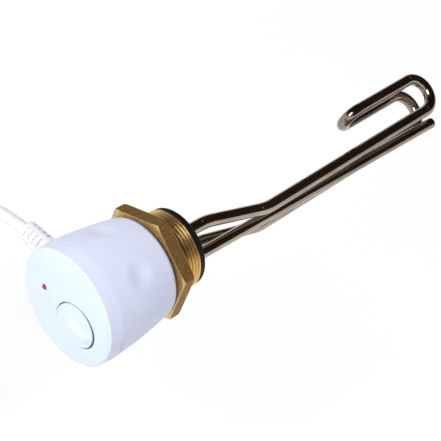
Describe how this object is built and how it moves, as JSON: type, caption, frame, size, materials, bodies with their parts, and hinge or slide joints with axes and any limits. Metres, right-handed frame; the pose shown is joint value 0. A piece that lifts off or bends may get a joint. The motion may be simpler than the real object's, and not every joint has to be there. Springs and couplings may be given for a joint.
{
  "type": "screw plug immersion heater",
  "caption": "Immersion heater with a brass screw plug, a folded tubular element and a thermowell, and a round plastic thermostat head with a dial knob, an indicator lamp and a mains cord",
  "frame": {"origin": "On the axis of the screw thread, on the face of the hexagon that seals against the tank.", "axes": "+X runs along the thread and the heating tubes into the tank, +Y is the way the cord leaves the head, and +Z completes the frame upwards."},
  "size_m": [0.3337, 0.2155, 0.2252],
  "materials": {
    "brass": "satin",
    "black_rubber": "matte",
    "element_sheath": "polished",
    "copper": "satin",
    "ceramic": "matte",
    "plated_steel": "satin",
    "head_plastic": "satin",
    "inner_plastic": "matte",
    "red_lens": "gloss",
    "lamp_glass": "gloss",
    "cord_plastic": "satin"
  },
  "bodies": {
    "heater": {"screw_plug": "brass", "thread_ring": "black_rubber", "heating_element": "element_sheath", "thermowell": "element_sheath", "sensor_bulb": "copper", "element_insulators": "ceramic", "element_terminals": "plated_steel", "earth_screw": "plated_steel", "housing": "head_plastic", "housing_gasket": "black_rubber", "housing_screws": "plated_steel", "front_cover": "head_plastic", "thermostat_body": "inner_plastic", "thermostat_screws": "plated_steel", "thermostat_tabs": "plated_steel", "indicator_lens": "red_lens", "indicator_lamp": "lamp_glass", "cord_boot": "cord_plastic", "cord_anchor": "inner_plastic", "cord_lead": "cord_plastic", "cord_coil": "cord_plastic", "coil_tie": "black_rubber", "plug_tail": "cord_plastic", "plug_body": "cord_plastic", "plug_pins": "plated_steel", "earth_contacts": "brass"},
    "knob": {"knob": "head_plastic", "spindle": "plated_steel"}
  },
  "joints": [
    {"name": "knob_turn", "type": "hinge", "parent": "heater", "child": "knob", "pos_m": [-0.062, -0.01078, -0.00161], "axis": [-1, 0, 0], "range_deg": [-135, 135]}
  ]
}
